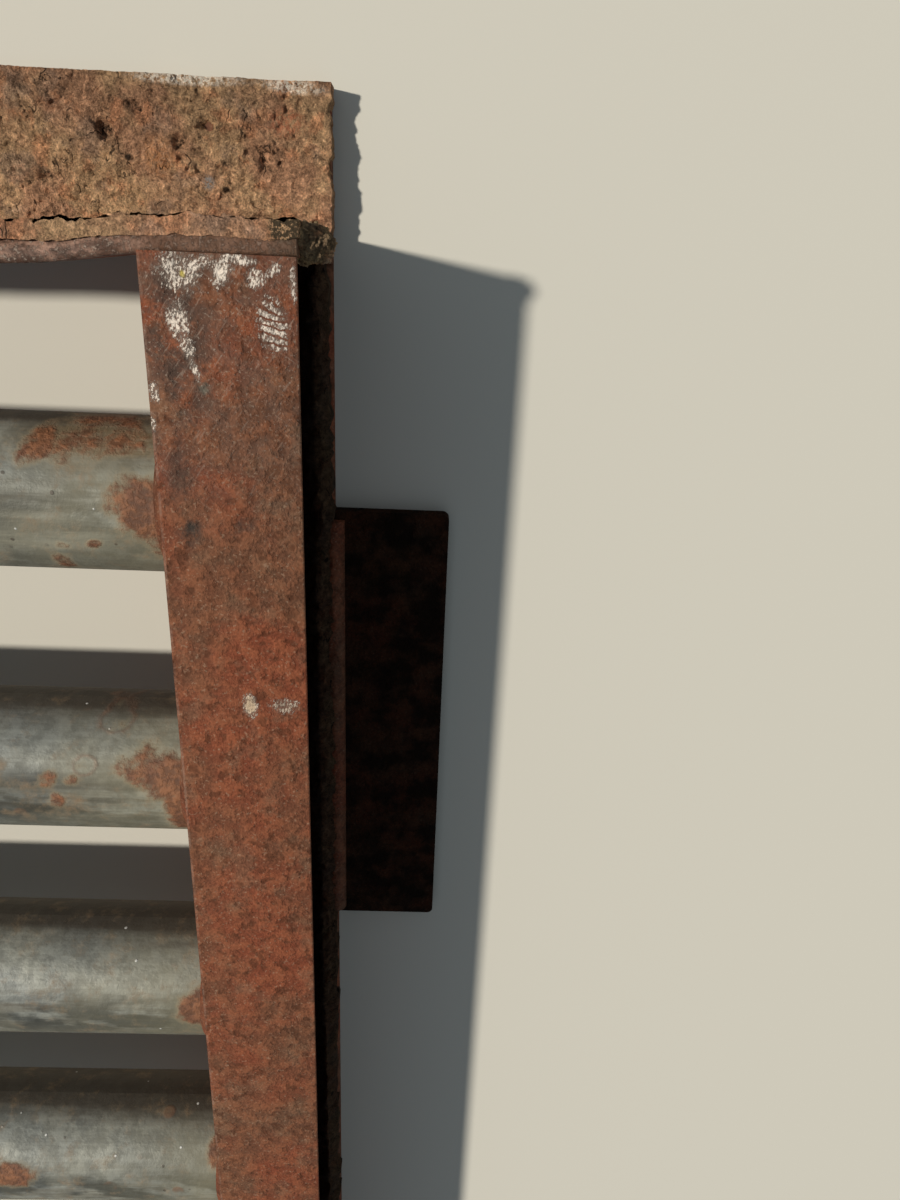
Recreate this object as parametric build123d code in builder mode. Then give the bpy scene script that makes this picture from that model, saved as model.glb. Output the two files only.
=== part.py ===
from build123d import *
import math
import os

# A cattle grid: ten round tubes, welded side by side into a frame of rolled steel.
# The grid lies as in use. X runs along the tubes, Y is the way of travel over them, and +Z is up.
# The origin is on the ground, at the middle of the grid.

# Frame
frame_length = 2430.0       # along the tubes, over the toes of the two end channels
frame_depth = 100.0         # of the end channels and of the upright legs of the edge angles

# Tubes, galvanised
tube_count = 10
tube_pitch = 120.0
tube_diameter = 60.3
tube_wall = 3.6
tube_drop = 5.0             # crown of a tube below the top of the frame
edge_gap = 57.0             # clear gap between an outer tube and the upright leg beside it

# End channels, rolled with tapered flanges, web towards the tubes and open side outwards
channel_flange = 50.0
channel_web = 6.0
channel_thickness = 7.5     # of a flange, half way along its taper
channel_taper = 5.0         # slope of a flange's inner face, degrees
channel_root_radius = 9.0

# Edge angles, one leg upright beside the tubes and one foot flat on the ground, pointing outwards
angle_foot = 65.0
angle_thickness = 8.0
angle_root_radius = 10.0

# Bearers, flat bars on edge with a saddle for each tube
bearer_spacing = 810.0      # between the two bearers, centre to centre
bearer_thickness = 12.0
saddle_depth = 25.0         # how deep a tube lies in its saddle
saddle_clearance = 0.3      # between a tube and its saddle

# Anchor lugs, flat plates butted to the bottom flanges of the end channels
lug_length = 235.0
lug_width = 54.0
lug_thickness = 8.0
lug_setback = 115.0         # from the outer face of an upright leg to the end of the lug
lug_corner_radius = 3.0

# Weld beads
tube_weld = 3.5             # leg of the ring round a tube's end
saddle_weld = 4.0           # leg of the bead under a tube, on the outer face of a bearer
saddle_weld_stop = 10.0     # angle between the end of that bead and the top of the bearer, degrees
frame_weld = 4.0            # leg of the upright beads where a channel meets an angle
frame_weld_drop = 14.0      # top of the bead behind the web, below the top of the frame
bearer_weld = 5.0           # leg of the upright beads where a bearer meets an angle
lug_weld = 5.0              # radius of the bead along a lug
weld_stop = 4.0             # a straight bead ends this far short of the joint's own end
weld_seat = 0.1             # between a bead and the round of a tube

# Worked out from the sizes above
tube_radius = tube_diameter / 2
tube_axis_height = frame_depth - tube_drop - tube_radius
tube_places = [(number - (tube_count - 1) / 2) * tube_pitch for number in range(tube_count)]
toe_x = frame_length / 2
web_x = toe_x - channel_flange
flange_slope = math.tan(math.radians(channel_taper))
flange_outstand = channel_flange - channel_web
toe_thickness = channel_thickness - flange_slope * flange_outstand / 2
root_thickness = channel_thickness + flange_slope * flange_outstand / 2
upright_y = tube_places[-1] + tube_radius + edge_gap
bearer_height = tube_axis_height - tube_radius + saddle_depth
lug_y = upright_y + angle_thickness - lug_setback - lug_length / 2

# Names of the sides, seen by someone who stands at -Y and looks along +Y
left_right = {"left": -1, "right": 1}
front_back = {"front": -1, "back": 1}

os.makedirs("parts", exist_ok=True)


def channel_plane(side, place=0.0):
    """Upright plane across an end channel: its x points outwards from the web, its y up."""
    return Plane(origin=(side * web_x, place, 0), x_dir=(side, 0, 0), z_dir=(0, -side, 0))


def channel_section():
    """Rolled channel: web at x = 0, toes at x = channel_flange, standing on its bottom flange."""
    with BuildSketch() as section:
        with BuildLine():
            Polyline(
                (0, 0),
                (channel_flange, 0),
                (channel_flange, toe_thickness),
                (channel_web, root_thickness),
                (channel_web, frame_depth - root_thickness),
                (channel_flange, frame_depth - toe_thickness),
                (channel_flange, frame_depth),
                (0, frame_depth),
                close=True,
            )
        make_face()
        roots = section.vertices().group_by(Axis.X)[1]
        fillet(roots, channel_root_radius)
    return section.sketch


def angle_section():
    """Rolled angle: heel at the origin, one leg up, and the foot along x."""
    with BuildSketch() as section:
        with BuildLine():
            Polyline(
                (0, 0),
                (angle_foot, 0),
                (angle_foot, angle_thickness),
                (angle_thickness, angle_thickness),
                (angle_thickness, frame_depth),
                (0, frame_depth),
                close=True,
            )
        make_face()
        root = section.vertices().sort_by_distance((angle_thickness, angle_thickness))[0]
        fillet(root, angle_root_radius)
    return section.sketch


def bead_section(leg, seat=0.0):
    """Fillet weld in the corner at (0, seat), with one leg along each axis."""
    with BuildSketch() as section:
        with BuildLine():
            Polyline((leg, seat), (0, seat), (0, seat + leg), close=True)
        make_face()
    return section.sketch


def upright_bead(x, y, away_x, away_y, leg, low, high):
    """Straight bead in the upright corner at (x, y), which grows towards away_x and away_y."""
    corner = Plane(origin=(x, y, (low + high) / 2), x_dir=(away_x, 0, 0), z_dir=(0, 0, away_x * away_y))
    with BuildPart() as bead:
        with BuildSketch(corner):
            add(bead_section(leg))
        extrude(amount=(high - low) / 2, both=True)
    return bead.part


def tube_bead(start, away, leg, reach):
    """Bead round a tube that lies on Y = 0, against an upright face at X = start.

    It grows along the tube towards away, and reaches round the tube from straight down, by reach
    degrees to each side.
    """
    begin = math.radians(-reach)
    outward = Vector(0, math.sin(begin), -math.cos(begin))
    normal = Vector(away, 0, 0).cross(outward)
    axis_point = (start, 0, tube_axis_height)
    with BuildPart() as bead:
        with BuildSketch(Plane(origin=axis_point, x_dir=(away, 0, 0), z_dir=normal)):
            add(bead_section(leg, seat=tube_radius + weld_seat))
        revolve(axis=Axis(axis_point, (1, 0, 0)), revolution_arc=2 * reach)
    return bead.part


# Edge angles: the wheels roll on and off over their upright legs, and their feet carry the grid
for name, side in front_back.items():
    with BuildPart() as edge_angle:
        heel = Plane(origin=(0, side * upright_y, 0), x_dir=(0, side, 0), z_dir=(side, 0, 0))
        with BuildSketch(heel):
            add(angle_section())
        extrude(amount=toe_x, both=True)
    edge_angle.part.label = f"edge_angle_{name}"
    export_step(edge_angle.part, f"parts/{edge_angle.part.label}.step")


# End channels: cut to fit between the upright legs, level with the ends of the angles
for name, side in left_right.items():
    with BuildPart() as end_channel:
        with BuildSketch(channel_plane(side)):
            add(channel_section())
        extrude(amount=upright_y, both=True)
    end_channel.part.label = f"end_channel_{name}"
    export_step(end_channel.part, f"parts/{end_channel.part.label}.step")


# Tubes: sawn square and butted to the webs of both channels
for number, place in enumerate(tube_places, start=1):
    with BuildPart() as tube:
        with BuildSketch(Plane.YZ):
            with Locations((place, tube_axis_height)):
                Circle(tube_radius)
                Circle(tube_radius - tube_wall, mode=Mode.SUBTRACT)
        extrude(amount=web_x, both=True)
    tube.part.label = f"tube_{number:02d}"
    export_step(tube.part, f"parts/{tube.part.label}.step")


# Bearers: cut to fit between the upright legs, with a saddle open at the top for each tube
saddle_radius = tube_radius + saddle_clearance
for name, side in left_right.items():
    with BuildPart() as bearer:
        with BuildSketch(Plane.YZ.offset(side * bearer_spacing / 2)):
            with Locations((0, bearer_height / 2)):
                Rectangle(2 * upright_y, bearer_height)
            with Locations(*[(place, tube_axis_height) for place in tube_places]):
                Circle(saddle_radius, mode=Mode.SUBTRACT)
                Rectangle(
                    2 * saddle_radius,
                    frame_depth,
                    align=(Align.CENTER, Align.MIN),
                    mode=Mode.SUBTRACT,
                )
        extrude(amount=bearer_thickness / 2, both=True)
    bearer.part.label = f"bearer_{name}"
    export_step(bearer.part, f"parts/{bearer.part.label}.step")


# Anchor lugs: one near each corner, flat on the ground outside the end channel
for row, front in front_back.items():
    for name, side in left_right.items():
        with BuildPart() as lug:
            with BuildSketch() as outline:
                with Locations((side * (toe_x + lug_width / 2), front * lug_y)):
                    Rectangle(lug_width, lug_length)
                outer = outline.vertices().filter_by(lambda corner: side * corner.X > toe_x + lug_width / 2)
                fillet(outer, lug_corner_radius)
            extrude(amount=lug_thickness)
        lug.part.label = f"lug_{row}_{name}"
        export_step(lug.part, f"parts/{lug.part.label}.step")


# Welds round the ends of the tubes
for name, side in left_right.items():
    ring = tube_bead(side * web_x, -side, tube_weld, reach=180)
    with BuildPart() as tube_welds:
        with Locations(*[(0, place, 0) for place in tube_places]):
            add(ring)
    tube_welds.part.label = f"tube_welds_{name}"
    export_step(tube_welds.part, f"parts/{tube_welds.part.label}.step")


# Welds under the tubes, on the outer face of each bearer, up to a little below its top
saddle_reach = math.degrees(math.acos(1 - saddle_depth / tube_radius)) - saddle_weld_stop
for name, side in left_right.items():
    outer_face = side * (bearer_spacing + bearer_thickness) / 2
    cradle = tube_bead(outer_face, side, saddle_weld, saddle_reach)
    with BuildPart() as saddle_welds:
        with Locations(*[(0, place, 0) for place in tube_places]):
            add(cradle)
    saddle_welds.part.label = f"saddle_welds_{name}"
    export_step(saddle_welds.part, f"parts/{saddle_welds.part.label}.step")


# Upright welds where the channels meet the angles: behind the web and inside the trough
trough_low = root_thickness + channel_root_radius
for name, side in left_right.items():
    with BuildPart() as corner_welds:
        for front in front_back.values():
            corner_y = front * upright_y
            behind_web = (weld_stop, frame_depth - frame_weld_drop)
            in_trough = (trough_low, frame_depth - trough_low)
            add(upright_bead(side * web_x, corner_y, -side, -front, frame_weld, *behind_web))
            add(upright_bead(side * (web_x + channel_web), corner_y, side, -front, frame_weld, *in_trough))
    corner_welds.part.label = f"corner_welds_{name}"
    export_step(corner_welds.part, f"parts/{corner_welds.part.label}.step")


# Upright welds where the bearers meet the angles
for name, side in left_right.items():
    with BuildPart() as bearer_welds:
        for front in front_back.values():
            for face in (-1, 1):
                face_x = side * bearer_spacing / 2 + face * bearer_thickness / 2
                add(
                    upright_bead(
                        face_x,
                        front * upright_y,
                        face,
                        -front,
                        bearer_weld,
                        weld_stop,
                        bearer_height - weld_stop,
                    )
                )
    bearer_welds.part.label = f"bearer_welds_{name}"
    export_step(bearer_welds.part, f"parts/{bearer_welds.part.label}.step")


# Welds along the lugs, laid in the step between the toe of a flange and the edge of the plate
for name, side in left_right.items():
    with BuildPart() as lug_welds:
        for front in front_back.values():
            with BuildSketch(channel_plane(side, place=front * lug_y)):
                with Locations((channel_flange, lug_thickness)):
                    Circle(lug_weld)
                add(channel_section(), mode=Mode.SUBTRACT)
                with Locations((channel_flange + lug_width / 2, lug_thickness / 2)):
                    Rectangle(lug_width, lug_thickness, mode=Mode.SUBTRACT)
            extrude(amount=lug_length / 2 - weld_stop, both=True)
    lug_welds.part.label = f"lug_welds_{name}"
    export_step(lug_welds.part, f"parts/{lug_welds.part.label}.step")
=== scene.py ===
import math
import bpy
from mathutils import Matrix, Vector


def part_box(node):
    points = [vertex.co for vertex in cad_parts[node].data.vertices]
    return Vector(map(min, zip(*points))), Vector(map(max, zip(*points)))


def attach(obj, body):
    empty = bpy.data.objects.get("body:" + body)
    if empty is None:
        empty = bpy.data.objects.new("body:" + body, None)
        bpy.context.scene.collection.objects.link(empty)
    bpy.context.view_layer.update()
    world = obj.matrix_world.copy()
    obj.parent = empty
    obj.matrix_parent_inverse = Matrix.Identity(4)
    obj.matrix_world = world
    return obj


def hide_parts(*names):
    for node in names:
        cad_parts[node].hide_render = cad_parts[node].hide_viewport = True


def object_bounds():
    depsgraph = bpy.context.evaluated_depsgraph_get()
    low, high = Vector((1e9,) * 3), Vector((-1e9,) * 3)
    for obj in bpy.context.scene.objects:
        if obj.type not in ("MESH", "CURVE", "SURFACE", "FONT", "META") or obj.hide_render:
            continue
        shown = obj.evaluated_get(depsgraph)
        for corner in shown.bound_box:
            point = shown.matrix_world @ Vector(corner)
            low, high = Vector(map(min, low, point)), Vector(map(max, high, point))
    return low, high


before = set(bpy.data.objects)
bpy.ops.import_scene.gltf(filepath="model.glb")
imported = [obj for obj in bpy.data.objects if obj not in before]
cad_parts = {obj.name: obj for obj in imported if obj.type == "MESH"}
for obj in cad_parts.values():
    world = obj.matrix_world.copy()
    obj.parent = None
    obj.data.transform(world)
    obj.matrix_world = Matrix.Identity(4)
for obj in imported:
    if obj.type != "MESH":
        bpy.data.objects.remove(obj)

cad_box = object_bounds()
bpy.ops.object.select_all(action="DESELECT")


# Camera. It stands over one corner of the grid, a little outside the end channel and 0.28 m above
# the walking face, and is tilted towards the tubes, as the photograph was taken.
channel_low, channel_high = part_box("end_channel_right")
camera_outside = 0.044          # beyond the toe of the end channel
camera_inside = 0.006           # from the end of the channel back over it
camera_height = 0.2776          # above the walking face
camera_sensor = 36.0            # width, and the length of the lens, in mm
camera_lens = 24.37
camera_near = 0.01
camera_turn = tuple(math.radians(angle) for angle in (-21.26, -0.93, 2.44))
camera_place = (
    channel_high.x + camera_outside,
    channel_high.y - camera_inside,
    channel_high.z + camera_height,
)
bpy.ops.object.camera_add(location=camera_place, rotation=camera_turn)
camera = bpy.context.object
camera.data.sensor_width = camera_sensor
camera.data.lens = camera_lens
camera.data.clip_start = camera_near
bpy.context.scene.camera = camera


# End channels. Hot-rolled steel sections, cut to length and welded between the edge angles, and
# rusted all over: red-brown scale with dark pits, olive grime, and smears of lime at one corner.
class Socket:
    """An output of a material's nodes. Arithmetic with it adds Math nodes."""

    def __init__(self, tree, plug):
        self.tree = tree
        self.plug = plug

    def node(self, kind, settings, inputs, output=0):
        """Adds a node, sets it up, then gives its inputs values or links."""
        made = self.tree.nodes.new(kind)
        for name, value in settings.items():
            setattr(made, name, value)
        for name, value in inputs.items():
            if isinstance(value, Socket):
                self.tree.links.new(value.plug, made.inputs[name])
            else:
                made.inputs[name].default_value = value
        return Socket(self.tree, made.outputs[output])

    def math(self, operation, first, second):
        return self.node("ShaderNodeMath", {"operation": operation}, {0: first, 1: second})

    def __add__(self, other):
        return self.math("ADD", self, other)

    __radd__ = __add__

    def __sub__(self, other):
        return self.math("SUBTRACT", self, other)

    def __rsub__(self, other):
        return self.math("SUBTRACT", other, self)

    def __mul__(self, other):
        return self.math("MULTIPLY", self, other)

    __rmul__ = __mul__


def new_material(name):
    """A material, the place on the object as a socket, and the material's shader node."""
    material = bpy.data.materials.new(name)
    material.use_nodes = True
    tree = material.node_tree
    place = Socket(tree, tree.nodes.new("ShaderNodeTexCoord").outputs["Object"])
    return material, place, tree.nodes["Principled BSDF"]


def along(place, axis):
    """The place's distance along axis 0, 1 or 2."""
    return place.node("ShaderNodeSeparateXYZ", {}, {0: place}, axis)


def size_of(value):
    """The number without its sign."""
    return value.node("ShaderNodeMath", {"operation": "ABSOLUTE"}, {0: value})


def larger(first, second):
    """The larger of two numbers, which joins two masks."""
    return first.math("MAXIMUM", first, second)


def stretched(place, factors):
    """The place with each axis multiplied, so that a pattern is finer along a larger one."""
    return place.node("ShaderNodeVectorMath", {"operation": "MULTIPLY"}, {0: place, 1: factors})


def shifted(place, seed):
    """The place moved by a seed, so that two patterns of one kind don't coincide."""
    moved = {0: place, 1: (seed, -seed, seed)}
    return place.node("ShaderNodeVectorMath", {"operation": "ADD"}, moved)


def noise(place, size, seed=0.0, detail=4.0, roughness=0.55):
    """Cloudy noise from 0 to 1 whose blotches are about size metres across."""
    sockets = {
        "Vector": shifted(place, seed),
        "Scale": 1.0 / size,
        "Detail": detail,
        "Roughness": roughness,
    }
    return place.node("ShaderNodeTexNoise", {}, sockets, "Fac")


def rise(value, low, high):
    """0 where value is below low, 1 above high, and smooth between; low may be the larger."""
    sockets = {"Value": value, "From Min": low, "From Max": high}
    return value.node("ShaderNodeMapRange", {"interpolation_type": "SMOOTHSTEP"}, sockets)


def blotches(place, size, low, high, **kind):
    """Noise spread out, so that it is 0 where it is under low and 1 where it is over high."""
    return rise(noise(place, size, **kind), low, high)


def strip(value, low, high, soft):
    """1 between low and high, and 0 beyond, with soft edges."""
    return rise(value, low - soft, low + soft) * rise(value, high + soft, high - soft)


def tint(mask, under, over):
    """Colour over where the mask is 1, and colour under where it is 0."""
    return mask.node("ShaderNodeMix", {"data_type": "RGBA"}, {0: mask, 6: under, 7: over}, 2)


def shade(colour, factor):
    """The colour made darker or lighter by a number that changes over the surface."""
    scaled = {"Scale": factor, 0: colour}
    return colour.node("ShaderNodeVectorMath", {"operation": "SCALE"}, scaled)


def patch(place, centre, half_size, turn):
    """1 inside an oval on the plan, and 0 outside, with a soft edge. Turn is in degrees."""
    sockets = {
        "Vector": stretched(place, (1.0, 1.0, 0.0)),
        "Location": (centre[0], centre[1], 0.0),
        "Rotation": (0.0, 0.0, math.radians(turn)),
        "Scale": (half_size[0], half_size[1], 1.0),
    }
    local = place.node("ShaderNodeMapping", {"vector_type": "TEXTURE"}, sockets)
    reach = place.node("ShaderNodeVectorMath", {"operation": "LENGTH"}, {0: local}, "Value")
    return rise(reach, 1.25, 0.35)


def turned(place, angle):
    """The place turned about the upright axis, in degrees."""
    sockets = {"Vector": place, "Angle": math.radians(angle)}
    return place.node("ShaderNodeVectorRotate", {"rotation_type": "Z_AXIS"}, sockets)


def coat(shader, colour, roughness, height, metallic=0.0, gloss=0.15):
    """Links a finish to the shader. Height is the relief in metres."""
    shader.inputs["Specular IOR Level"].default_value = gloss
    lifted = {"Strength": 1.0, "Distance": 1.0, "Height": height}
    bump = colour.node("ShaderNodeBump", {}, lifted, "Normal")
    links = colour.tree.links
    links.new(colour.plug, shader.inputs["Base Color"])
    links.new(bump.plug, shader.inputs["Normal"])
    for name, value in (("Roughness", roughness), ("Metallic", metallic)):
        if isinstance(value, Socket):
            links.new(value.plug, shader.inputs[name])
        else:
            shader.inputs[name].default_value = value


rust_red = (0.218, 0.058, 0.026, 1.0)
rust_brown = (0.152, 0.063, 0.032, 1.0)
rust_orange = (0.250, 0.090, 0.038, 1.0)
rust_pale = (0.360, 0.230, 0.145, 1.0)
rust_dark = (0.080, 0.028, 0.012, 1.0)
grime_olive = (0.140, 0.100, 0.060, 1.0)


def rust_layers(place):
    """The colour and relief of plain rusted plate, before anything that only one piece has."""
    cloud = blotches(place, 0.035, 0.36, 0.64, seed=3.0, detail=5.0)
    mottle = blotches(place, 0.0075, 0.38, 0.62, seed=1.7, detail=5.0, roughness=0.60)
    spots = blotches(place, 0.0042, 0.55, 0.67, seed=7.0, detail=2.0, roughness=0.50)
    grain = blotches(place, 0.0012, 0.34, 0.66, seed=5.0, detail=3.0, roughness=0.6)
    grime = blotches(place, 0.016, 0.50, 0.64, seed=9.0, detail=8.0, roughness=0.66)
    flecks = blotches(place, 0.0013, 0.61, 0.69, seed=15.0, detail=2.0)
    colour = tint(cloud, rust_brown, rust_red)
    colour = tint(mottle * 0.32, colour, rust_orange)
    colour = tint(grime * 0.32, colour, grime_olive)
    colour = shade(colour, 0.69 + grain * 0.36 + mottle * 0.24)
    colour = tint(flecks * 0.42, colour, rust_pale)
    colour = tint(spots * 0.60, colour, rust_dark)
    relief = cloud * 0.0003 + mottle * 0.0005 + grain * 0.00008 - spots * 0.00014
    return colour, relief


lime_marks = (
    # centre from the channel's outer corner, half size, both in mm, turn in degrees, and strength
    ((-37.0, -5.5), (7.8, 6.8), 0.0, 0.78),
    ((-29.5, -2.6), (4.5, 2.6), 20.0, 0.8),
    ((-23.6, -5.2), (3.6, 5.8), -22.0, 1.0),
    ((-18.5, -1.5), (6.0, 1.9), -8.0, 1.0),
    ((-12.8, -7.0), (3.6, 3.4), 0.0, 1.0),
    ((-7.6, -4.4), (3.2, 1.9), 38.0, 0.9),
    ((-1.2, -8.0), (1.3, 5.5), 0.0, 0.9),
    ((-38.6, -20.5), (4.2, 7.5), 8.0, 0.80),
    ((-36.4, -28.5), (2.6, 5.0), 20.0, 0.9),
    ((-34.3, -35.2), (1.4, 4.6), 18.0, 0.95),
    ((-48.2, -43.5), (1.9, 4.0), 0.0, 0.8),
    ((-49.2, -54.0), (1.0, 2.6), 0.0, 0.7),
)
cream_marks = (
    # two more of the same kind, farther along, that are less white
    ((-21.8, -160.0), (3.0, 5.6), 6.0, 1.05),
    ((-8.5, -160.0), (6.4, 3.4), 0.0, 0.60),
)
striped_mark = ((-8.2, -21.0), (5.2, 9.4), 10.0, 1.0)
stripe_gap = 0.0026             # between the lines in the striped mark
yellow_fleck = ((-36.1, -6.4), (0.9, 1.3), 10.0, 1.0)
dark_marks = (
    ((-40.0, -24.0), (12.0, 34.0), 4.0, 0.72),
    ((-40.0, -91.0), (5.0, 6.5), 0.0, 1.0),
    ((-20.5, -88.0), (5.0, 3.6), 0.0, 0.7),
    ((-42.0, -70.0), (6.0, 12.0), 0.0, 0.6),
)
grey_spot = ((-31.2, -41.2), (2.4, 2.8), 0.0, 1.0)
dirt_brown = (0.125, 0.080, 0.058, 1.0)
dirt_black = (0.050, 0.036, 0.027, 1.0)
dirt_grey = (0.140, 0.130, 0.095, 1.0)
scratch_pale = (0.420, 0.320, 0.240, 1.0)
salt_pale = (0.430, 0.340, 0.260, 1.0)
lime_dust = (0.330, 0.250, 0.190, 1.0)
lime_white = (0.840, 0.700, 0.560, 1.0)
lime_cream = (0.540, 0.370, 0.215, 1.0)
paint_yellow = (0.620, 0.480, 0.110, 1.0)
# the pale of a painted highlight along the inner edge of the top face
edge_highlight_pale = (0.330, 0.210, 0.150, 1.0)
scratch_shape = (1.0, 0.10, 1.0)    # drawn out ten times along the scratch
top_fades = 0.0012              # the marks on the top face fade out over its worn edge,
top_whole = 0.0004              # between these two depths below it


def channel_finish():
    """Rust, and on the top face near one corner dirt, scratches, salt and smears of lime, with a
    painted highlight along its inner edge.
    """
    material, place, shader = new_material("channel_rust")
    colour, relief = rust_layers(place)
    x, y, z = (along(place, axis) for axis in range(3))
    top = rise(z, channel_high.z - top_fades, channel_high.z - top_whole)

    def mark(spot):
        """The mask of one mark, whose sizes are in mm from the outer corner."""
        centre, half, turn, strength = spot
        corner = (channel_high.x + centre[0] / 1000, channel_high.y + centre[1] / 1000)
        return patch(place, corner, (half[0] / 1000, half[1] / 1000), turn) * strength

    near_corner = rise(y, channel_high.y - 0.110, channel_high.y - 0.030) * top
    dirt = blotches(place, 0.0080, 0.38, 0.60, seed=18.0, detail=7.0, roughness=0.7)
    colour = tint(dirt * near_corner * 0.45, colour, dirt_brown)
    for spot in dark_marks:
        colour = tint(dirt * mark(spot) * top, colour, dirt_black)
    colour = tint(mark(grey_spot) * top * dirt * 0.8, colour, dirt_grey)
    scratches = stretched(turned(place, 35.0), scratch_shape)
    scratches = blotches(scratches, 0.0009, 0.60, 0.70, seed=21.0)
    crossing = stretched(turned(place, -55.0), scratch_shape)
    crossing = blotches(crossing, 0.0009, 0.62, 0.72, seed=24.0)
    scratches = larger(scratches, crossing) * (0.06 + near_corner * 0.84)
    colour = tint(scratches * 0.30, colour, scratch_pale)
    salt = blotches(place, 0.0010, 0.60, 0.68, seed=26.0, detail=3.0) * near_corner
    colour = tint(salt * 0.40, colour, salt_pale)

    smears = mark(lime_marks[0])
    for spot in lime_marks[1:] + cream_marks:
        smears = larger(smears, mark(spot))
    wave = noise(place, 0.006, seed=6.0) * 0.005
    ripple = y + x * 0.25 + wave
    stripes = rise(ripple.math("PINGPONG", ripple, stripe_gap / 2), 0.0001, 0.0006)
    smears = larger(smears, mark(striped_mark) * stripes)
    clumps = blotches(place, 0.0040, 0.40, 0.60, seed=12.0, detail=4.0, roughness=0.6)
    strokes = stretched(turned(place, 15.0), (1.0, 0.45, 1.0))
    strokes = blotches(strokes, 0.0006, 0.36, 0.64, seed=13.0, detail=5.0, roughness=0.8)
    lime = rise(smears * 0.85 + strokes * 1.05 + clumps * 0.45, 1.10, 1.56)
    lime = lime * rise(smears, 0.0, 0.12) * top
    dust = rise(smears, 0.02, 0.8) * top
    colour = tint(dust * 0.28, colour, lime_dust)
    colour = tint(lime * 0.94, colour, lime_white)
    for spot in cream_marks:
        colour = tint(mark(spot) * lime * 0.8, colour, lime_cream)
    colour = tint(mark(yellow_fleck) * top * 0.9, colour, paint_yellow)
    # Painted highlight: a pale, broken line along the inner edge of the top face, where the worn
    # edge catches the sun.
    inner_edge_highlight = strip(size_of(x), channel_low.x, channel_low.x + 0.0009, 0.0003) * top
    colour = tint(inner_edge_highlight * dirt * 0.35, colour, edge_highlight_pale)
    rough = 0.70 + noise(place, 0.004, seed=4.0) * 0.25
    coat(shader, colour, rough, relief + lime * 0.0003)
    return material


def pick(piece):
    """Makes a piece the only one that the next steps work on."""
    bpy.ops.object.select_all(action="DESELECT")
    piece.select_set(True)
    bpy.context.view_layer.objects.active = piece


def select(piece, wanted):
    """Opens a piece in edit mode with only the points selected whose place is wanted."""
    pick(piece)
    bpy.ops.object.mode_set(mode="EDIT")
    bpy.ops.mesh.select_mode(type="VERT")
    bpy.ops.mesh.select_all(action="DESELECT")
    bpy.ops.object.mode_set(mode="OBJECT")
    for point in piece.data.vertices:
        point.select = wanted(point.co)
    bpy.ops.object.mode_set(mode="EDIT")


def rolled_copy(node):
    """A copy of a rolled section that stands for its node, with its flat faces whole."""
    piece = bpy.data.objects.new(f"{node}_rolled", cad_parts[node].data.copy())
    bpy.context.scene.collection.objects.link(piece)
    select(piece, lambda place: True)
    bpy.ops.mesh.customdata_custom_splitnormals_clear()
    bpy.ops.mesh.remove_doubles(threshold=0.00001)
    bpy.ops.mesh.dissolve_limited(angle_limit=0.01)
    bpy.ops.object.mode_set(mode="OBJECT")
    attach(piece, "root")
    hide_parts(node)
    return piece


def round_edge(piece, wanted, radius, steps=6):
    """Rounds the long edges between the points whose place is wanted."""
    select(piece, wanted)
    bpy.ops.mesh.bevel(offset=radius, segments=steps, affect="EDGES")
    bpy.ops.object.mode_set(mode="OBJECT")


def smooth_rounds(piece):
    """Smooth shading over the rounded edges, and crisp sawn ends."""
    pick(piece)
    bpy.ops.object.shade_smooth_by_angle(angle=math.radians(35.0))


on_face = 0.0001                # a point that is nearer than this to a flat face lies on it
channel_toe_radius = 0.0045
channel_toe_thickness = 0.00558     # of a flange at its toe
channel_edge_radius = 0.0008    # of the upper outer edge, which is only worn
toe_heights = (channel_toe_thickness, channel_high.z - channel_toe_thickness)


def at_toe(place):
    """The inner edges of the two flanges' toes."""
    miss = min(abs(place.z - height) for height in toe_heights)
    return abs(place.x) > channel_high.x - on_face and miss < 2 * on_face


def at_top_edge(place):
    """The outer edge of the top face."""
    return abs(place.x) > channel_high.x - on_face and place.z > channel_high.z - on_face


channel_material = channel_finish()
for side in ("left", "right"):
    channel = rolled_copy(f"end_channel_{side}")
    round_edge(channel, at_toe, channel_toe_radius)
    round_edge(channel, at_top_edge, channel_edge_radius, steps=2)
    smooth_rounds(channel)
    channel.data.materials.clear()
    channel.data.materials.append(channel_material)


# Soil in the end channels. The open side of each channel faces outwards and was buried, so damp
# soil is packed on the bottom flange, lumpy and nearly black in the shade, and painted shade
# darkens it further in the hollow of the channel.
def roughen(piece, texture_name, size, strength, direction="NORMAL", creased=False):
    """Moves a piece's points by lumps about size metres across, soft ones or creased ones."""
    texture = bpy.data.textures.new(texture_name, "CLOUDS")
    texture.noise_scale = size
    texture.noise_depth = 3
    texture.noise_type = "HARD_NOISE" if creased else "SOFT_NOISE"
    lumps = piece.modifiers.new("lumps", "DISPLACE")
    lumps.texture = texture
    lumps.texture_coords = "LOCAL"
    lumps.direction = direction
    lumps.strength = strength
    bpy.context.view_layer.objects.active = piece
    bpy.ops.object.modifier_apply(modifier=lumps.name)


def soil_sheet(name, low, high, cell):
    """A flat grid over the plan between two corners, at the height of the higher one."""
    middle = [(a + b) / 2 for a, b in zip(low, high)]
    counts = [max(2, round((b - a) / cell)) for a, b in zip(low, high)]
    bpy.ops.mesh.primitive_grid_add(
        x_subdivisions=counts[0],
        y_subdivisions=counts[1],
        size=1.0,
        location=(middle[0], middle[1], high[2]),
    )
    sheet = bpy.context.object
    sheet.name = name
    sheet.scale = (high[0] - low[0], high[1] - low[1], 1.0)
    bpy.ops.object.transform_apply(location=True, rotation=True, scale=True)
    return sheet


def refine(piece, wanted, cuts):
    """Makes the mesh finer between the points whose place is wanted."""
    select(piece, wanted)
    bpy.ops.mesh.subdivide(number_cuts=cuts)
    bpy.ops.object.mode_set(mode="OBJECT")


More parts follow.
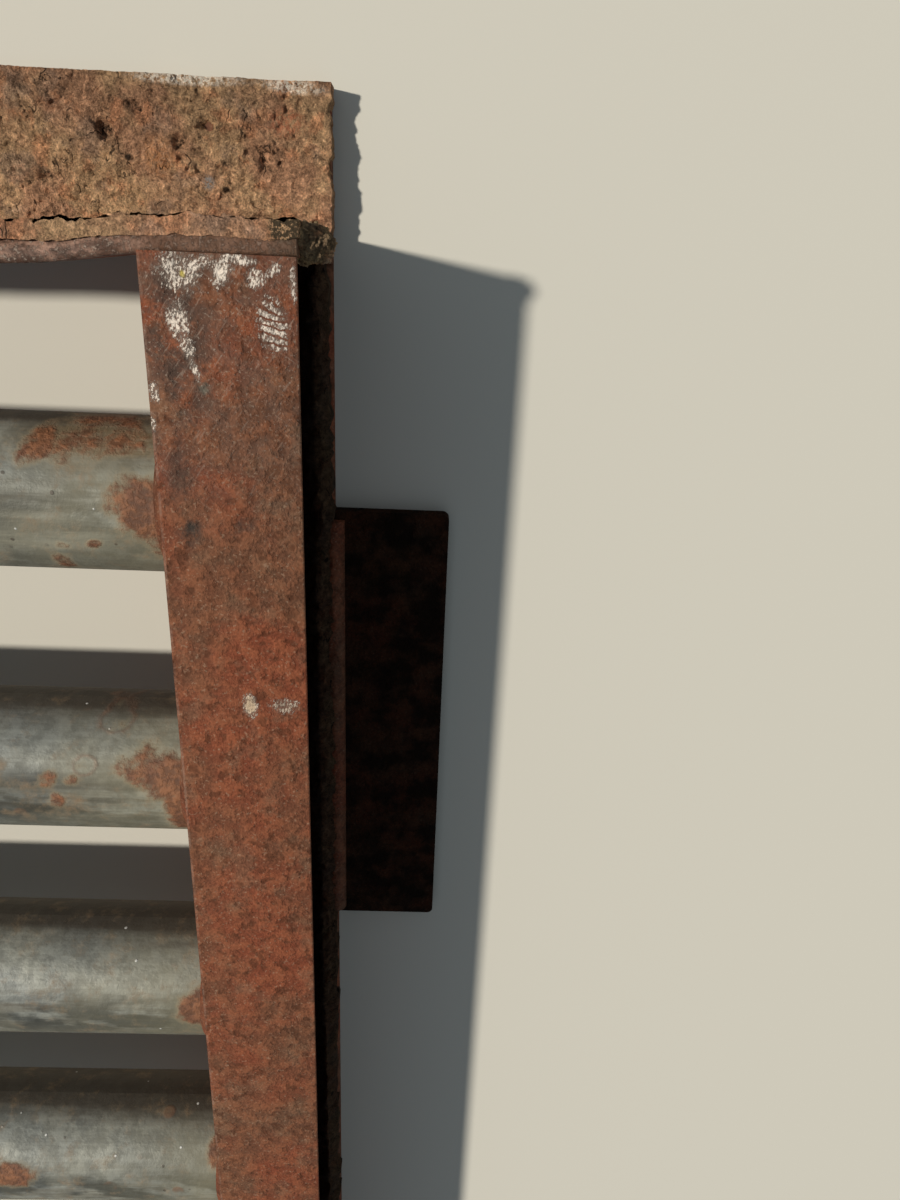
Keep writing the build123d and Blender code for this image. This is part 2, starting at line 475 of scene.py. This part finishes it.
def pull(piece, wanted, move, falloff, reach):
    """Moves the points whose place is wanted, and draws those within reach along with them."""
    select(piece, wanted)
    bpy.ops.transform.translate(
        value=move,
        use_proportional_edit=True,
        proportional_edit_falloff=falloff,
        proportional_size=reach,
    )
    bpy.ops.object.mode_set(mode="OBJECT")


def cut_steep(piece, tallest):
    """Cuts the steep edges of a sheet in half until none of them is taller than tallest."""
    while True:
        heights = [point.co.z for point in piece.data.vertices]
        steep = [
            edge.index for edge in piece.data.edges
            if abs(heights[edge.vertices[0]] - heights[edge.vertices[1]]) > tallest
        ]
        if not steep:
            return
        select(piece, lambda place: False)
        bpy.ops.mesh.select_mode(type="EDGE")
        bpy.ops.object.mode_set(mode="OBJECT")
        for index in steep:
            piece.data.edges[index].select = True
        bpy.ops.object.mode_set(mode="EDIT")
        bpy.ops.mesh.subdivide(number_cuts=1)
        bpy.ops.object.mode_set(mode="OBJECT")


def close_down(piece, floor_height):
    """Draws the border of a sheet straight down to a height, and closes it underneath."""
    select(piece, lambda place: False)
    bpy.ops.mesh.select_non_manifold()
    bpy.ops.mesh.extrude_region_move()
    bpy.ops.transform.resize(value=(1.0, 1.0, 0.0), center_override=(0.0, 0.0, floor_height))
    bpy.ops.mesh.fill()
    bpy.ops.mesh.select_all(action="SELECT")
    bpy.ops.mesh.normals_make_consistent(inside=False)
    bpy.ops.object.mode_set(mode="OBJECT")
    bpy.ops.object.shade_smooth_by_angle(angle=math.radians(50.0))


earth_red = (0.370, 0.195, 0.108, 1.0)
earth_ochre = (0.412, 0.246, 0.128, 1.0)
earth_rust = (0.500, 0.205, 0.095, 1.0)
earth_grey = (0.240, 0.160, 0.112, 1.0)
# near-black painted shade in the soil's cracks and holes
crevice_shade_black = (0.016, 0.011, 0.008, 1.0)


def dots(place, size, seed):
    """Distance to the nearest of scattered points about size metres apart, in units of size."""
    sockets = {"Vector": shifted(place, seed), "Scale": 1.0 / size}
    return place.node("ShaderNodeTexVoronoi", {"feature": "F1"}, sockets, "Distance")


def soil_finish(name, brightness, hues=(earth_red, earth_ochre), stained=0.5, own_marks=None):
    """Packed soil: crumbs of two hues, rust stains, and short cracks and pits painted black as
    shade in them.

    A piece's own marks are laid on its colour by a function of the place and the colour.
    """
    material, place, shader = new_material(name)
    cloud = blotches(place, 0.026, 0.40, 0.60, seed=41.0, detail=5.0)
    crumbs = blotches(place, 0.0028, 0.38, 0.62, seed=44.0, detail=8.0, roughness=0.72)
    fibres = blotches(place, 0.0009, 0.38, 0.62, seed=47.0, detail=4.0, roughness=0.75)
    colour = tint(cloud, *hues)
    stains = blotches(place, 0.012, 0.52, 0.64, seed=51.0, detail=5.0, roughness=0.6)
    colour = tint(stains * stained, colour, earth_rust)
    grey = blotches(place, 0.016, 0.54, 0.66, seed=55.0, detail=6.0)
    colour = tint(grey * 0.5, colour, earth_grey)
    lumps = blotches(place, 0.0065, 0.36, 0.64, seed=49.0, detail=5.0, roughness=0.65)
    colour = shade(colour, 0.24 + lumps * 0.34 + crumbs * 0.62 + fibres * 0.56)
    ridge = noise(stretched(place, (1.0, 0.7, 1.0)), 0.013, seed=58.0, detail=3.0)
    cracked = blotches(place, 0.012, 0.54, 0.60, seed=61.0, detail=2.0)
    cracks = strip(ridge, 0.493, 0.507, 0.008) * cracked
    holed = blotches(place, 0.02, 0.50, 0.56, seed=66.0)
    holes = rise(dots(place, 0.013, seed=64.0), 0.15, 0.07) * holed
    cracks = larger(cracks, holes)
    # Painted shade: the cracks and holes are darkened nearly to black.
    colour = tint(cracks * 0.92, colour, crevice_shade_black)
    if own_marks:
        colour = own_marks(place, colour)
    colour = shade(colour, brightness)
    relief = lumps * 0.0006 + crumbs * 0.0008 + fibres * 0.0004 - cracks * 0.0012
    coat(shader, colour, 0.95, relief, gloss=0.10)
    return material


web_thickness = 0.006
flange_at_web = 0.0094          # thickness of the bottom flange beside the web
soil_over_toe = 0.0004          # the soil hangs this far over the flange's toe
soil_in_steel = 0.001           # and reaches this far into the web and the upright legs
soil_on_flange = 0.002          # its height over the flange beside the web
trough_cell = 0.0032            # of the grid that it starts as
trough_base = 0.0022            # it is closed at this height, inside the flange
finer_y = 0.22                  # its mesh is finer from here to the corner that the camera sees
heap_inset = 0.006              # a heap runs along the soil, this far inside the toe
heap_half_width = 0.002
heap_height = 0.007
heap_slope = 0.009
shaded_x = 1.2080               # inside this it lies in the hollow of the channel, and painted shade makes it nearly black


def trough_hollow_shade(place, colour):
    """Painted shade: the soil in the hollow of the channel is darker than its outer edge."""
    hollow = strip(along(place, 0), 0.0, shaded_x, 0.0012)
    return shade(colour, 1.0 - hollow * 0.70)


trough_material = soil_finish("trough_soil", brightness=0.22, own_marks=trough_hollow_shade)
for side, sign in (("left", -1.0), ("right", 1.0)):
    inner_x = channel_low.x + web_thickness - soil_in_steel
    outer_x = channel_high.x + soil_over_toe
    reach = sorted((sign * inner_x, sign * outer_x))
    end_y = channel_high.y + soil_in_steel
    bed = soil_sheet(
        f"trough_soil_{side}",
        (reach[0], -end_y, 0.0),
        (reach[1], end_y, flange_at_web + soil_on_flange),
        trough_cell,
    )
    refine(bed, lambda place: sign > 0 and place.y > finer_y, 1)
    heap_x = sign * (channel_high.x - heap_inset)
    pull(
        bed,
        lambda place: abs(place.x - heap_x) < heap_half_width,
        (0.0, 0.0, heap_height),
        "SMOOTH",
        heap_slope,
    )
    roughen(bed, "trough_heaps", 0.030, 0.010, "Z")
    roughen(bed, "trough_clods", 0.0090, 0.0060, creased=True)
    roughen(bed, "trough_crumbs", 0.0030, 0.0024, creased=True)
    roughen(bed, "trough_border", 0.0120, 0.0030, "X")
    close_down(bed, trough_base)
    bed.data.materials.append(trough_material)
    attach(bed, "root")


# Edge angles. Hot-rolled unequal steel angles, as long as the grid, welded to the end channels, and
# rusted. Wheels have worn the top of their upright legs smooth and purple-brown, and have bowed
# the one at the back inwards beside the end channel.
angle_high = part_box("edge_angle_back")[1]
angle_thickness = 0.008
upright_inside = channel_high.y
upright_outside = upright_inside + angle_thickness
worn_from = 0.0930              # the steel begins to be worn at this height
worn_to = 0.0985                # and is worn bare from this one up
browner_from = 1.145            # along the grid, where the worn steel turns browner
browner_to = 1.175
worn_dark = (0.070, 0.041, 0.028, 1.0)
worn_pale = (0.340, 0.200, 0.138, 1.0)
worn_brown = (0.132, 0.066, 0.036, 1.0)     # over the end channels, where fewer wheels pass
worn_speckle = (0.440, 0.340, 0.260, 1.0)
worn_soiled = (0.075, 0.054, 0.034, 1.0)    # beside the clod


def angle_finish():
    """Rust, and along the top of the legs steel that wheels have worn smooth."""
    material, place, shader = new_material("angle_rust")
    colour, relief = rust_layers(place)
    worn = rise(along(place, 2), worn_from, worn_to)
    speckle = blotches(place, 0.0013, 0.50, 0.60, seed=8.0, detail=5.0, roughness=0.75)
    lengthwise = stretched(place, (0.5, 1.0, 1.0))
    bruises = blotches(lengthwise, 0.0042, 0.40, 0.60, seed=28.0, detail=6.0, roughness=0.65)
    smooth = tint(bruises, worn_dark, worn_pale)
    browner = rise(size_of(along(place, 0)), browner_from, browner_to)
    smooth = tint(browner * 0.75, smooth, worn_brown)
    smooth = tint(speckle * (0.60 - browner * 0.35), smooth, worn_speckle)
    soiled_place = (angle_high.x - 0.0020, upright_inside + 0.0030)
    soiled = patch(place, soiled_place, (0.0070, 0.0060), 0.0)
    smooth = tint(soiled * (0.4 + bruises * 0.6), smooth, worn_soiled)
    colour = tint(worn * 0.9, colour, smooth)
    relief = relief * (1.0 - worn * 0.5) + speckle * worn * 0.0002
    coat(shader, colour, 0.70 - worn * 0.12, relief)
    return material


angle_toe_radius = 0.005
worn_edge_radius = 0.0016       # of the inner edge of a leg, that wheels have worn round
bows = (
    # along the grid, how deep and how far to each side each blow of a wheel has bent the leg
    (1.108, 0.0058, 0.056),
    (1.030, 0.0036, 0.085),
    (0.940, 0.0030, 0.080),
)
bow_sag = 0.08                  # how far a bent stretch sinks, for each unit that it moves inwards
struck_half_length = 0.016      # of the stretch of a leg that a wheel hits
struck_from = 0.090             # and its height, up to the top of the leg
cuts_from = 0.834               # the bent stretch of the leg is cut across from here to the corner
cut_step = 0.012
cut_count = 32
cut_heights = (0.025, 0.040, 0.055, 0.070, 0.082)


def at_leg_top(place):
    return place.z > angle_high.z - on_face


def at_leg_toe(place):
    """The outer edge of a leg's top."""
    return at_leg_top(place) and abs(abs(place.y) - upright_outside) < on_face


def at_worn_edge(place):
    """The inner edge of a leg's top."""
    return at_leg_top(place) and abs(place.y) < upright_inside + on_face


def at_foot_toe(place):
    """The upper edge of a foot's toe."""
    return abs(place.y) > angle_high.y - on_face and place.z > angle_thickness - on_face


def was_struck(place, struck):
    """The top of a leg round one of the places that wheels have hit."""
    return abs(place.x - struck) < struck_half_length and place.z > struck_from


def slice_across(where, facing):
    """Cuts the whole piece that is open in edit mode by a plane."""
    bpy.ops.mesh.select_all(action="SELECT")
    bpy.ops.mesh.bisect(plane_co=where, plane_no=facing)


angle_material = angle_finish()
for side in ("front", "back"):
    angle = rolled_copy(f"edge_angle_{side}")
    round_edge(angle, at_leg_toe, angle_toe_radius)
    round_edge(angle, at_foot_toe, angle_toe_radius)
    round_edge(angle, at_worn_edge, worn_edge_radius, steps=3)
    if side == "back":
        select(angle, lambda place: True)
        for step in range(cut_count):
            slice_across((cuts_from + step * cut_step, 0.0, 0.0), (1.0, 0.0, 0.0))
        for height in cut_heights:
            slice_across((0.0, 0.0, height), (0.0, 0.0, 1.0))
        bpy.ops.object.mode_set(mode="OBJECT")
        for struck, depth, bend in bows:
            inwards = (0.0, -depth, -depth * bow_sag)
            pull(angle, lambda place: was_struck(place, struck), inwards, "SMOOTH", bend)
    smooth_rounds(angle)
    angle.data.materials.clear()
    angle.data.materials.append(angle_material)


# Soil on the feet of the edge angles. The feet were buried, and a fibrous crust of dry soil still
# covers them, over the ends too, and climbs the outside of the upright legs to their worn top.
crust_pits = (
    # hollows in the crust: place along and across the grid, half size, and turn in degrees
    ((1.1271, 0.6726), (0.0036, 0.0024), 10.0),
    ((1.1405, 0.6800), (0.0060, 0.0011), -62.0),
    ((1.1676, 0.6755), (0.0060, 0.0010), -12.0),
    ((1.1883, 0.6651), (0.0066, 0.0010), -58.0),
    ((1.1020, 0.6560), (0.0050, 0.0012), -30.0),
    ((1.1560, 0.6690), (0.0048, 0.0012), 50.0),
)
# near-black painted shade in the crust's hollows and cracks
pit_shade_black = (0.020, 0.012, 0.008, 1.0)
bloom_pale = (0.860, 0.740, 0.590, 1.0)
crust_marks = tuple((pit, pit_shade_black, 0.95) for pit in crust_pits) + (
    # orange and red stains, a grey one, pale bloom, soil of the clod, and two olive stretches
    (((1.1474, 0.6633), (0.0070, 0.0085), 20.0), (0.520, 0.225, 0.090, 1.0), 0.60),
    (((1.1985, 0.6776), (0.0080, 0.0060), 0.0), (0.480, 0.165, 0.080, 1.0), 0.75),
    (((1.1663, 0.6553), (0.0028, 0.0032), 0.0), (0.300, 0.290, 0.270, 1.0), 0.80),
    (((1.1610, 0.6908), (0.0230, 0.0024), 0.0), bloom_pale, 0.95),
    (((1.2010, 0.6900), (0.0130, 0.0026), -4.0), bloom_pale, 0.90),
    (((1.2115, 0.6345), (0.0062, 0.0070), 0.0), (0.075, 0.052, 0.030, 1.0), 1.60),
    (((1.1420, 0.6385), (0.0150, 0.0016), 0.0), (0.130, 0.105, 0.040, 1.0), 0.70),
    (((1.1050, 0.6370), (0.0250, 0.0022), 0.0), (0.110, 0.095, 0.035, 1.0), 0.80),
)
pit_depth = 0.0030
crust_height = 0.0125           # of the crust's top over the ground, away from the leg
crust_top = 0.1026              # of its lip over the leg's rounded toe, before it is worn level
crust_lip = 0.0031              # from the inner face of the leg to the lip, before its brim
crust_skin = 0.0022             # its thickness on the outside of the leg
crust_slope = 0.0022            # from the top of that skin out to the foot
crust_brim = 0.0017             # how far its lip hangs out over that skin
brim_from = 0.097               # only what is higher hangs out
brim_reach = 0.014
crust_cell = 0.0029             # of the grid that it starts as
crust_step = 0.0045             # the tallest steep edge that is left in the mesh
crust_overhang = 0.0004         # past the ends of the angle
crust_trim = 0.0015             # past the toe of the foot, before it is cut level with the toe
trim_inset = 0.0001             # the cut keeps this far inside the toe
wear_inset = 0.00002            # and the worn lip this far below the top of the leg
crust_base = 0.0024             # it is closed at this height, inside the foot
crust_follows = 0.60            # how much of each bow of the leg the crust on it shares
finer_x = 1.03                  # its mesh is finer from here to the corner that the camera sees


def foot_marks(place, colour):
    """Painted light: the crust is paler near the leg, where it rises towards the sun, and darker
    away from it; the listed marks are ragged.
    """
    painted_light_near_leg = rise(size_of(along(place, 1)), angle_high.y, channel_high.y + 0.010)
    # Painted light: paler where the crust rises to the leg, darker towards the toe of the foot.
    colour = shade(colour, 0.84 + painted_light_near_leg * 0.30)
    ragged = blotches(place, 0.0016, 0.42, 0.56, seed=68.0, detail=6.0, roughness=0.75)
    for mark, tone, strength in crust_marks:
        colour = tint(patch(place, *mark) * ragged * strength, colour, tone)
    return colour


foot_material = soil_finish("foot_soil", brightness=1.38, own_marks=foot_marks)
for side, sign in (("front", -1.0), ("back", 1.0)):
    heel_y = channel_high.y + crust_lip
    edge_y = angle_high.y + crust_trim
    reach = sorted((sign * heel_y, sign * edge_y))
    end_x = angle_high.x + crust_overhang
    crust = soil_sheet(
        f"foot_soil_{side}",
        (-end_x, reach[0], 0.0),
        (end_x, reach[1], crust_height),
        crust_cell,
    )
    refine(crust, lambda place: sign > 0 and place.x > finer_x, 3)
    roughen(crust, "crust_heaps", 0.026, 0.0050, "Z")
    pull(
        crust,
        lambda place: abs(place.y) < upright_outside + crust_skin,
        (0.0, 0.0, crust_top - crust_height),
        "SHARP",
        crust_slope,
    )
    cut_steep(crust, crust_step)
    brim = (0.0, sign * crust_brim, 0.0)
    pull(crust, lambda place: place.z > brim_from, brim, "SMOOTH", brim_reach)
    if side == "back":
        for struck, depth, bend in bows:
            inwards = (0.0, -depth * crust_follows, 0.0)
            pull(crust, lambda place: was_struck(place, struck), inwards, "SMOOTH", bend)
    roughen(crust, "crust_clods", 0.0080, 0.0034, creased=True)
    roughen(crust, "crust_crumbs", 0.0028, 0.0020, creased=True)
    roughen(crust, "crust_lip", 0.0070, 0.0026, "Y")
    roughen(crust, "crust_ends", 0.0080, 0.0030, "X")
    for (pit_x, pit_y), half, turn in crust_pits:
        pull(
            crust,
            lambda place: math.hypot(place.x - pit_x, place.y * sign - pit_y) < half[1],
            (0.0, 0.0, -pit_depth),
            "SMOOTH",
            half[0] * 0.7,
        )
    select(crust, lambda place: True)
    bpy.ops.mesh.bisect(
        plane_co=(0.0, sign * (angle_high.y - trim_inset), 0.0),
        plane_no=(0.0, sign, 0.0),
        clear_outer=True,
    )
    bpy.ops.object.mode_set(mode="OBJECT")
    worn_level = angle_high.z - wear_inset
    select(crust, lambda place: place.z > worn_level)
    bpy.ops.transform.resize(value=(1.0, 1.0, 0.0), center_override=(0.0, 0.0, worn_level))
    bpy.ops.object.mode_set(mode="OBJECT")
    close_down(crust, crust_base)
    crust.data.materials.append(foot_material)
    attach(crust, "root")


# Clod at the corner. A ball of fibrous soil, dark grey-brown, is stuck where the end of the leg
# meets the open end of the channel.
clod_place = (1.2165, 0.6315, 0.0868)
clod_half_size = (0.0098, 0.0068, 0.0090)
clod_dark = (0.120, 0.078, 0.045, 1.0)
clod_olive = (0.190, 0.135, 0.070, 1.0)
bpy.ops.mesh.primitive_ico_sphere_add(subdivisions=6, radius=1.0, location=clod_place)
clod = bpy.context.object
clod.name = "corner_clod"
clod.scale = clod_half_size
bpy.ops.object.transform_apply(location=True, rotation=True, scale=True)
roughen(clod, "clod_lumps", 0.0070, 0.0040)
roughen(clod, "clod_crumbs", 0.0026, 0.0034, creased=True)
bpy.ops.object.shade_smooth()
clod_material = soil_finish(
    "clod_soil", brightness=2.2, hues=(clod_dark, clod_olive), stained=0.3
)
clod.data.materials.append(clod_material)
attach(clod, "root")


# Tubes. Galvanised steel tubes, butted and welded to the webs of the end channels: dull zinc with a
# soft sheen, dirt, painted shade with dirt along both sides, tan stains, small rings of rust, and
# bare rust where the zinc has gone, most of all at the ends.
tube_low, tube_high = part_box("tube_01")
tube_radius = (tube_high.y - tube_low.y) / 2
tube_height = (tube_high.z + tube_low.z) / 2
tube_names = sorted(
    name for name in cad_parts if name.startswith("tube_") and "welds" not in name
)
tube_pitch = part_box(tube_names[1])[0].y - tube_low.y
rust_patches = (
    # number of the tube, centre from the web and from its axis, half size, all in mm, turn in
    # degrees, and strength
    (10, (-3.0, -1.0), (24.0, 14.0), -35.0, 1.0),
    (10, (-26.0, 24.5), (31.0, 9.0), 4.0, 0.66),
    (10, (-46.0, 22.0), (10.0, 7.0), 35.0, 0.95),
    (10, (-42.0, -21.5), (5.0, 5.0), 0.0, 0.75),
    (10, (-26.8, -12.0), (4.0, 2.4), 20.0, 0.65),
    (10, (-39.0, -13.5), (3.4, 2.2), 0.0, 0.60),
    (9, (-11.0, 9.5), (20.0, 11.0), -14.0, 1.0),
    (9, (-3.0, -8.0), (10.0, 15.0), 0.0, 0.95),
    (9, (-56.5, 7.6), (6.0, 4.0), 30.0, 0.60),
    (9, (-48.0, 7.0), (4.0, 3.6), 0.0, 0.60),
    (9, (-54.0, -2.4), (4.0, 5.0), 0.0, 0.60),
    (8, (-5.0, 4.0), (10.0, 13.0), -20.0, 0.95),
    (7, (-107.0, 7.0), (14.0, 8.0), 0.0, 1.0),
    (7, (-4.0, 18.0), (6.0, 8.0), 0.0, 0.80),
)
rust_rings = (
    (9, (-41.7, 12.9), (5.4, 4.4), 0.0, 1.0),
    (9, (-32.5, 27.0), (8.0, 4.0), 0.0, 1.0),
)
tube_shades = (
    # dark and pale stretches, in the same measures, and their colours
    ((9, (-60.0, -1.0), (40.0, 9.0), 3.0, 0.95), (0.062, 0.054, 0.037, 1.0)),
    ((9, (-66.0, 9.0), (14.0, 4.0), -6.0, 0.80), (0.040, 0.040, 0.034, 1.0)),
    ((10, (-46.0, -9.0), (34.0, 9.0), 0.0, 0.80), (0.330, 0.300, 0.215, 1.0)),
    ((10, (-22.0, 24.0), (36.0, 10.0), 0.0, 1.10), (0.120, 0.086, 0.046, 1.0)),
)
seen_x = 1.020                  # the listed patches stand for the corner beyond these two,
seen_y = 0.110                  # and chance sets the rest
zinc_dull = (0.190, 0.192, 0.168, 1.0)
zinc_bright = (0.270, 0.262, 0.212, 1.0)
film_brown = (0.100, 0.084, 0.056, 1.0)
streak_brown = (0.070, 0.055, 0.036, 1.0)
smudge_grey = (0.038, 0.038, 0.030, 1.0)
# painted shade with dirt, on the front flank of a tube
belly_shade_brown = (0.110, 0.100, 0.066, 1.0)
stain_tan = (0.250, 0.215, 0.125, 1.0)
# painted shade with dirt, on the side of a tube where the light grazes it
side_shade_brown = (0.052, 0.038, 0.025, 1.0)
ring_brown = (0.200, 0.098, 0.050, 1.0)
spot_dark = (0.060, 0.042, 0.028, 1.0)
speck_pale = (0.640, 0.620, 0.560, 1.0)
halo_tan = (0.290, 0.215, 0.120, 1.0)
bare_rust_dark = (0.158, 0.062, 0.029, 1.0)
bare_rust_light = (0.228, 0.090, 0.038, 1.0)


def tube_finish():
    """Zinc, dirt on the crown, painted shade with dirt on both sides, rust. Around is 0 on top of a
    tube.
    """
    material, place, shader = new_material("tube_zinc")
    x, y, z = (along(place, axis) for axis in range(3))
    half_pitch = tube_pitch / 2
    sockets = {0: y - half_pitch, 1: half_pitch, 2: -half_pitch}
    across = y.node("ShaderNodeMath", {"operation": "WRAP"}, sockets)
    around = across.math("ARCTAN2", across, z - tube_height)
    lengthwise = stretched(place, (0.10, 1.0, 1.0))

    def on_tube(spot):
        """The mask of one patch, whose sizes are in mm from the web and from the tube's axis."""
        number, centre, half, turn, strength = spot
        tube_y = tube_low.y + tube_radius + (number - 1) * tube_pitch
        middle = (channel_low.x + centre[0] / 1000, tube_y + centre[1] / 1000)
        return patch(place, middle, (half[0] / 1000, half[1] / 1000), turn) * strength

    cloud = blotches(place, 0.045, 0.38, 0.62, seed=21.0, detail=5.0)
    spangle = blotches(place, 0.0065, 0.38, 0.62, seed=23.0, detail=5.0, roughness=0.6)
    drawn = stretched(place, (0.06, 1.0, 1.0))
    drawn = blotches(drawn, 0.0016, 0.36, 0.64, seed=27.0, detail=4.0)
    grain = blotches(place, 0.0012, 0.36, 0.64, seed=5.0, detail=3.0, roughness=0.7)
    colour = tint(cloud, zinc_dull, zinc_bright)
    colour = shade(colour, 0.68 + spangle * 0.38 + drawn * 0.16 + grain * 0.08)

    film = blotches(lengthwise, 0.0090, 0.44, 0.60, seed=29.0, detail=6.0, roughness=0.65)
    crown = strip(around, -0.60, 0.35, 0.30)
    streaks = stretched(place, (0.18, 1.0, 1.0))
    streaks = blotches(streaks, 0.0035, 0.52, 0.60, seed=30.0, detail=5.0)
    smudges = stretched(place, (0.35, 1.0, 1.0))
    smudges = blotches(smudges, 0.0130, 0.43, 0.56, seed=32.0, detail=6.0)
    smudges = smudges * strip(around, -0.50, 0.28, 0.28)
    # Painted shade with dirt: the front flank of each tube, which faces away from the sun, is
    # darkened.
    belly = rise(around, -0.20, -0.70)
    colour = tint(film * crown * 0.60, colour, film_brown)
    colour = tint(streaks * crown * 0.40, colour, streak_brown)
    colour = tint(smudges * 0.80, colour, smudge_grey)
    colour = tint(belly * 0.45, colour, belly_shade_brown)
    stains = blotches(place, 0.024, 0.42, 0.66, seed=25.0, detail=7.0, roughness=0.60)
    near_end = rise(size_of(x), channel_low.x - 0.085, channel_low.x - 0.010)
    colour = tint(stains * 0.14 + near_end * 0.34, colour, stain_tan)
    patchy = 0.35 + blotches(lengthwise, 0.0070, 0.40, 0.60, seed=36.0, detail=5.0) * 0.65
    for spot, tone in tube_shades:
        colour = tint(on_tube(spot) * patchy, colour, tone)
    # Painted shade with dirt along the back of each tube, where the light grazes it and it turns
    # under.
    edge_noise = noise(lengthwise, 0.010, seed=33.0, detail=5.0)
    shaded = rise(around + edge_noise * 0.7, 1.30, 1.75)
    colour = tint(shaded * 0.88, colour, side_shade_brown)
    rings = strip(dots(place, 0.020, seed=37.0), 0.06, 0.17, 0.035)
    rings = rings * blotches(place, 0.045, 0.52, 0.60, seed=39.0)
    colour = tint(rings * 0.6, colour, ring_brown)
    spots = rise(dots(place, 0.0085, seed=40.0), 0.12, 0.06)
    spots = spots * blotches(place, 0.018, 0.48, 0.58, seed=42.0)
    colour = tint(spots * 0.75, colour, spot_dark)
    specks = rise(dots(place, 0.0120, seed=43.0), 0.070, 0.040)
    colour = tint(specks * 0.9, colour, speck_pale)

    chance = noise(place, 0.030, seed=31.0, detail=6.0, roughness=0.6)
    lower = strip(around, -1.50, 0.55, 0.35)
    elsewhere = 1.0 - rise(x, seen_x, seen_x + 0.02) * rise(y, seen_y, seen_y + 0.01)
    scattered = rise(chance + near_end * (0.06 + lower * 0.10), 0.56, 0.76) * elsewhere
    placed = on_tube(rust_patches[0])
    for spot in rust_patches[1:]:
        placed = larger(placed, on_tube(spot))
    ragged = noise(place, 0.0110, seed=34.0, detail=8.0, roughness=0.68) - 0.5
    field = larger(placed, scattered) + ragged * 2.4
    rust = rise(field, 0.30, 0.85)
    halo = rise(field, 0.00, 0.60)
    ringed = larger(on_tube(rust_rings[0]), on_tube(rust_rings[1]))
    ringed = strip(ringed + ragged * 1.6, 0.30, 0.62, 0.30)
    rust = larger(rust, ringed * 0.45)
    rust_grain = blotches(place, 0.0028, 0.38, 0.62, seed=5.0, detail=4.0, roughness=0.6)
    rust_cloud = blotches(place, 0.0070, 0.40, 0.60, seed=35.0, detail=4.0)
    rust_colour = tint(rust_cloud, bare_rust_dark, bare_rust_light)
    rust_colour = shade(rust_colour, 0.66 + rust_grain * 0.50)
    colour = tint(halo * 0.50, colour, halo_tan)
    colour = tint(rust * 0.95, colour, rust_colour)
    bare = 1.0 - rise(halo + film * crown * 0.7 + shaded + stains * 0.5, 0.1, 0.9)
    relief = cloud * 0.0002 + spangle * 0.00008 + grain * 0.00002
    relief = relief + rust * (0.00020 + rust_grain * 0.00022)
    relief = relief + rings * 0.00012 + specks * 0.0002 + spots * 0.0001
    coat(shader, colour, 0.68 - bare * 0.14, relief, bare * 0.22, gloss=0.30)
    return material


def dress(material, *nodes):
    """Gives CAD nodes, named by their names, one material."""
    for name in nodes:
        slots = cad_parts[name].data.materials
        slots.clear()
        slots.append(material)


dress(tube_finish(), *tube_names)


# Bearers. Flat steel bars on edge, cut with a saddle for each tube and welded between the edge
# angles, rusted and dirty in the shade under the tubes.
bearer_dirt = (0.090, 0.062, 0.040, 1.0)


def bearer_finish():
    material, place, shader = new_material("bearer_rust")
    colour, relief = rust_layers(place)
    dirt = noise(stretched(place, (1.0, 1.0, 0.3)), 0.02, seed=2.0, detail=6.0)
    colour = tint(rise(dirt, 0.35, 0.65) * 0.6, colour, bearer_dirt)
    coat(shader, colour, 0.80, relief)
    return material


dress(bearer_finish(), "bearer_left", "bearer_right")


# Anchor lugs. Flat steel plates, welded to the bottom flanges of the end channels, that lay in the
# ground and are nearly black with old rust and damp dirt.
lug_dirt = (0.008, 0.005, 0.003, 1.0)


def lug_finish():
    material, place, shader = new_material("lug_dirt")
    colour, relief = rust_layers(place)
    dirt = blotches(place, 0.012, 0.38, 0.62, seed=6.0, detail=6.0)
    colour = tint(0.84 + dirt * 0.15, colour, lug_dirt)
    coat(shader, colour, 0.92, relief * 1.4, gloss=0.05)
    return material


dress(lug_finish(), "lug_front_left", "lug_front_right", "lug_back_left", "lug_back_right")


# Weld beads. Arc welds of steel that hold the frame, the tubes, the bearers and the lugs together,
# laid by hand and rusted like the plate round them.
def weld_finish():
    material, place, shader = new_material("weld_rust")
    colour, relief = rust_layers(place)
    lumps = noise(place, 0.003, seed=14.0, detail=2.0)
    coat(shader, shade(colour, 0.75), 0.70, relief + lumps * 0.0012)
    return material


dress(weld_finish(), *(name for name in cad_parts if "welds" in name))


# Floor and light. A plain pale floor, a sun that shines from the left and a little from the back,
# with a soft edge to its shadows, and a faint blue sky.
floor_size = 60.0
floor_colour = (0.585, 0.545, 0.455, 1.0)
bpy.ops.mesh.primitive_plane_add(size=floor_size, location=(0.0, 0.0, cad_box[0].z))
floor = bpy.context.object
floor.name = "floor"
floor_material = bpy.data.materials.new("floor_pale")
floor_material.use_nodes = True
floor_shader = floor_material.node_tree.nodes["Principled BSDF"]
floor_shader.inputs["Base Color"].default_value = floor_colour
floor_shader.inputs["Roughness"].default_value = 0.9
floor.data.materials.append(floor_material)

sun_travel = (0.85, -0.14, -1.0)    # the way that its light goes
sun_strength = 3.6
sun_width = math.radians(3.0)
sun_colour = (1.0, 0.97, 0.91)
sky_colour = (0.70, 0.84, 1.0, 1.0)
sky_strength = 0.27
sun_turn = (
    math.atan2(sun_travel[1], math.hypot(sun_travel[0], sun_travel[2])),
    -math.atan2(sun_travel[0], -sun_travel[2]),
    0.0,
)
bpy.ops.object.light_add(type="SUN", location=(-2.0, 0.5, 3.0), rotation=sun_turn)
sun = bpy.context.object
sun.data.energy = sun_strength
sun.data.angle = sun_width
sun.data.color = sun_colour

world = bpy.data.worlds.new("sky")
bpy.context.scene.world = world
world.use_nodes = True
world.node_tree.nodes["Background"].inputs["Color"].default_value = sky_colour
world.node_tree.nodes["Background"].inputs["Strength"].default_value = sky_strength
bpy.context.scene.view_settings.view_transform = "Standard"
